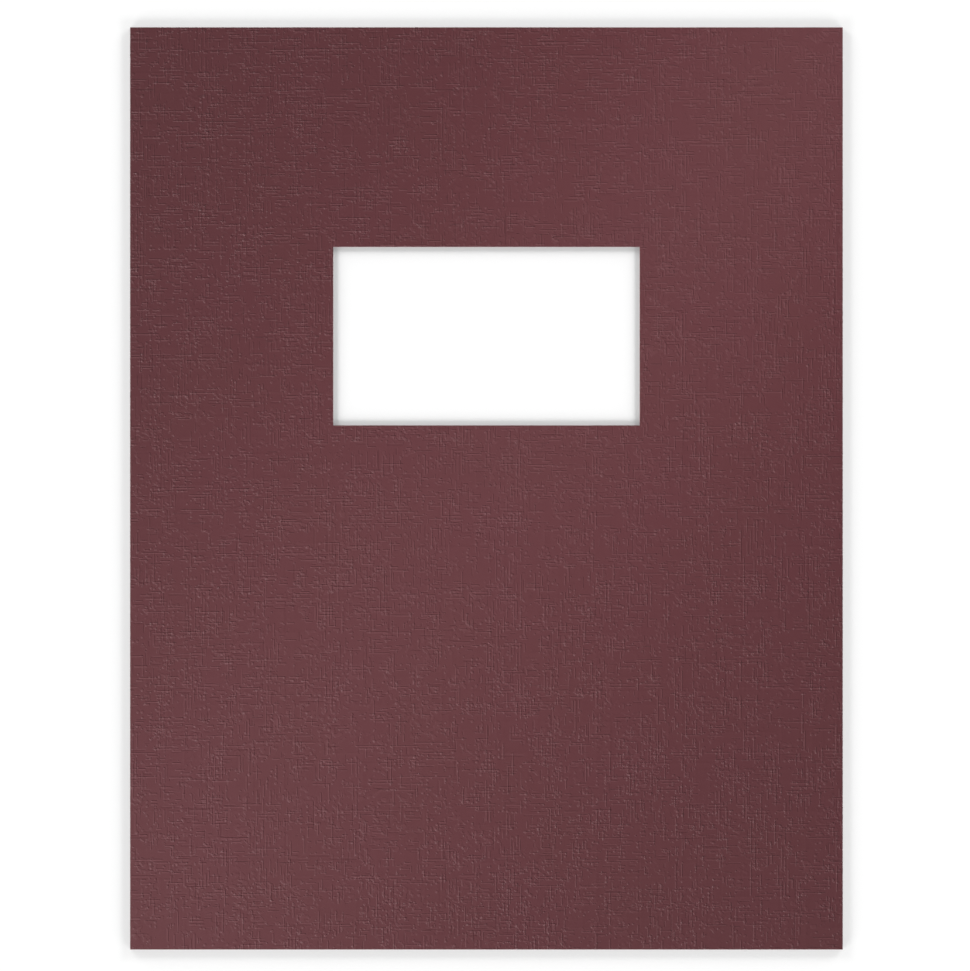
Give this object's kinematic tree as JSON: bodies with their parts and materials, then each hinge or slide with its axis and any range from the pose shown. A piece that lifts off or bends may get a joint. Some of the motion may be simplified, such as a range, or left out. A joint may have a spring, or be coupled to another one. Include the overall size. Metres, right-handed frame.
{
  "type": "report cover",
  "caption": "Letter-size sheet of maroon linen-embossed card with a rectangular title window cut through its upper half.",
  "frame": {"origin": "under the middle of the sheet, on the surface that it lies on", "axes": "+X to the right edge as the front is read, +Y to the head of the sheet, +Z out of the front face"},
  "size_m": [0.216, 0.2794, 0.0004],
  "materials": {
    "maroon_card": "matt linen-embossed card, dyed maroon"
  },
  "bodies": {
    "root": {"cover_sheet": "maroon_card"}
  },
  "joints": []
}
